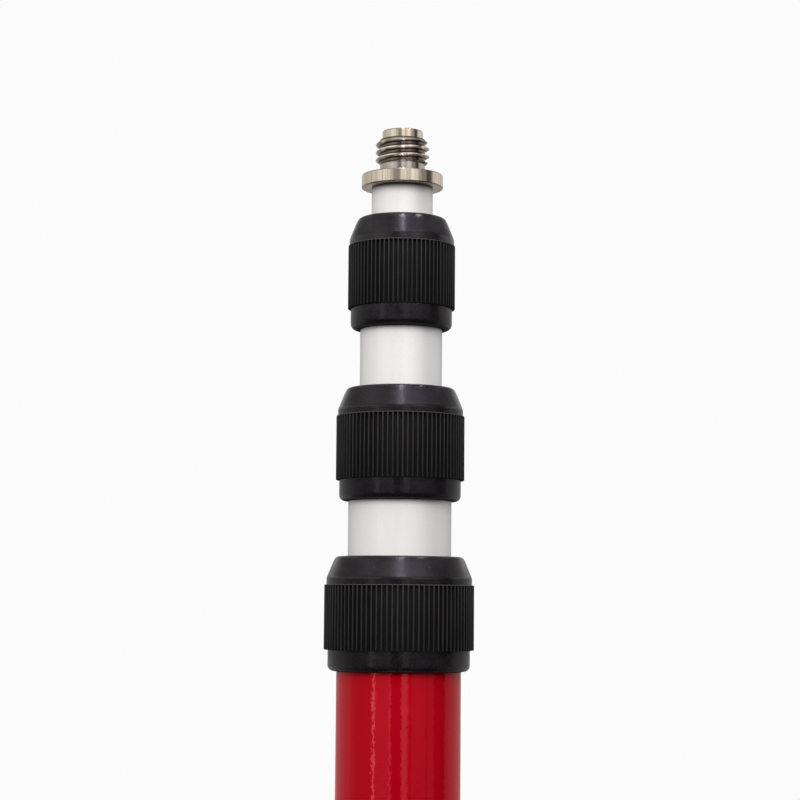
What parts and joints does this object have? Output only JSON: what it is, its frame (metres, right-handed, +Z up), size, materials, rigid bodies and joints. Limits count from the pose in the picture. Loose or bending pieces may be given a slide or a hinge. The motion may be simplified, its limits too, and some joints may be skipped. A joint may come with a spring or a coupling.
{
  "type": "survey prism pole",
  "caption": "Telescopic survey pole with twist locks, a threaded stud on top for a prism, a bubble level and a steel point.",
  "frame": {"origin": "tip of the pole's point, on the pole's axis", "axes": "+Z up along the pole to the threaded stud; the bubble level stands out on the -Y side"},
  "size_m": [0.067, 0.084, 1.4096],
  "materials": {
    "red_paint": "gloss",
    "pale_anodised": "satin",
    "black_moulding": "satin",
    "grip_rubber": "matte",
    "stainless": "turned",
    "lock_alloy": "plain",
    "collet_nylon": "matte",
    "slide_acetal": "matte",
    "slip_brass": "satin",
    "pin_steel": "ground",
    "point_steel": "turned",
    "holder_alloy": "turned",
    "stop_rubber": "matte",
    "level_casting": "satin",
    "level_screw": "satin",
    "vial_housing": "satin",
    "vial_clear": "clear",
    "vial_spirit": "clear",
    "vial_white": "matte"
  },
  "bodies": {
    "outer_section": {"outer_tube": "red_paint", "point_holder": "holder_alloy", "point_holder_pins": "pin_steel", "point": "point_steel", "bump_stop": "stop_rubber", "lower_lock_base": "lock_alloy", "lower_lock_base_pins": "pin_steel", "lower_lock_collet": "collet_nylon", "level_arm": "level_casting", "level_clamp_back": "level_casting", "level_clamp_screws": "level_screw", "level_clamp_nuts": "level_screw", "vial_pad": "stop_rubber", "vial_cup": "vial_housing", "vial_capsule": "vial_clear", "vial_plug": "vial_white", "vial_liquid": "vial_spirit", "vial_bezel": "vial_housing", "vial_adjusting_screws": "level_screw"},
    "lower_section": {"lower_tube": "pale_anodised", "lower_tube_guide": "slide_acetal", "lower_tube_guide_pins": "pin_steel", "middle_lock_base": "lock_alloy", "middle_lock_base_pins": "pin_steel", "middle_lock_collet": "collet_nylon"},
    "middle_section": {"middle_tube": "pale_anodised", "middle_tube_guide": "slide_acetal", "middle_tube_guide_pins": "pin_steel", "upper_lock_base": "lock_alloy", "upper_lock_base_pins": "pin_steel", "upper_lock_collet": "collet_nylon"},
    "upper_section": {"upper_tube": "pale_anodised", "upper_tube_guide": "slide_acetal", "upper_tube_guide_pins": "pin_steel", "prism_stud": "stainless", "stud_cross_pin": "pin_steel"},
    "lower_slip": {"lower_lock_slip_ring": "slip_brass"},
    "lower_nut": {"lower_lock_nut": "black_moulding", "lower_lock_grip": "grip_rubber"},
    "middle_slip": {"middle_lock_slip_ring": "slip_brass"},
    "middle_nut": {"middle_lock_nut": "black_moulding", "middle_lock_grip": "grip_rubber"},
    "upper_slip": {"upper_lock_slip_ring": "slip_brass"},
    "upper_nut": {"upper_lock_nut": "black_moulding", "upper_lock_grip": "grip_rubber"}
  },
  "joints": [
    {"name": "lower_section_slide", "type": "slide", "parent": "outer_section", "child": "lower_section", "axis": [0, 0, 1], "range_m": [0, 1.0235]},
    {"name": "lower_slip_rise", "type": "slide", "parent": "outer_section", "child": "lower_slip", "axis": [0, 0, 1], "range_m": [0, 0.0015]},
    {"name": "lower_nut_turn", "type": "hinge", "parent": "lower_slip", "child": "lower_nut", "pos_m": [0, 0, 1.2675], "axis": [0, 0, 1], "range_deg": [0, 180]},
    {"name": "middle_section_slide", "type": "slide", "parent": "lower_section", "child": "middle_section", "axis": [0, 0, 1], "range_m": [0, 1.0695]},
    {"name": "middle_slip_rise", "type": "slide", "parent": "lower_section", "child": "middle_slip", "axis": [0, 0, 1], "range_m": [0, 0.0015]},
    {"name": "middle_nut_turn", "type": "hinge", "parent": "middle_slip", "child": "middle_nut", "pos_m": [0, 0, 1.3165], "axis": [0, 0, 1], "range_deg": [0, 180]},
    {"name": "upper_section_slide", "type": "slide", "parent": "middle_section", "child": "upper_section", "axis": [0, 0, 1], "range_m": [0, 1.1165]},
    {"name": "upper_slip_rise", "type": "slide", "parent": "middle_section", "child": "upper_slip", "axis": [0, 0, 1], "range_m": [0, 0.0015]},
    {"name": "upper_nut_turn", "type": "hinge", "parent": "upper_slip", "child": "upper_nut", "pos_m": [0, 0, 1.3667], "axis": [0, 0, 1], "range_deg": [0, 180]}
  ],
  "couplings": [
    {"joint": "lower_nut_turn", "follows": "lower_slip_rise", "rad_per_m": 2094.4},
    {"joint": "middle_nut_turn", "follows": "middle_slip_rise", "rad_per_m": 2094.4},
    {"joint": "upper_nut_turn", "follows": "upper_slip_rise", "rad_per_m": 2094.4}
  ]
}
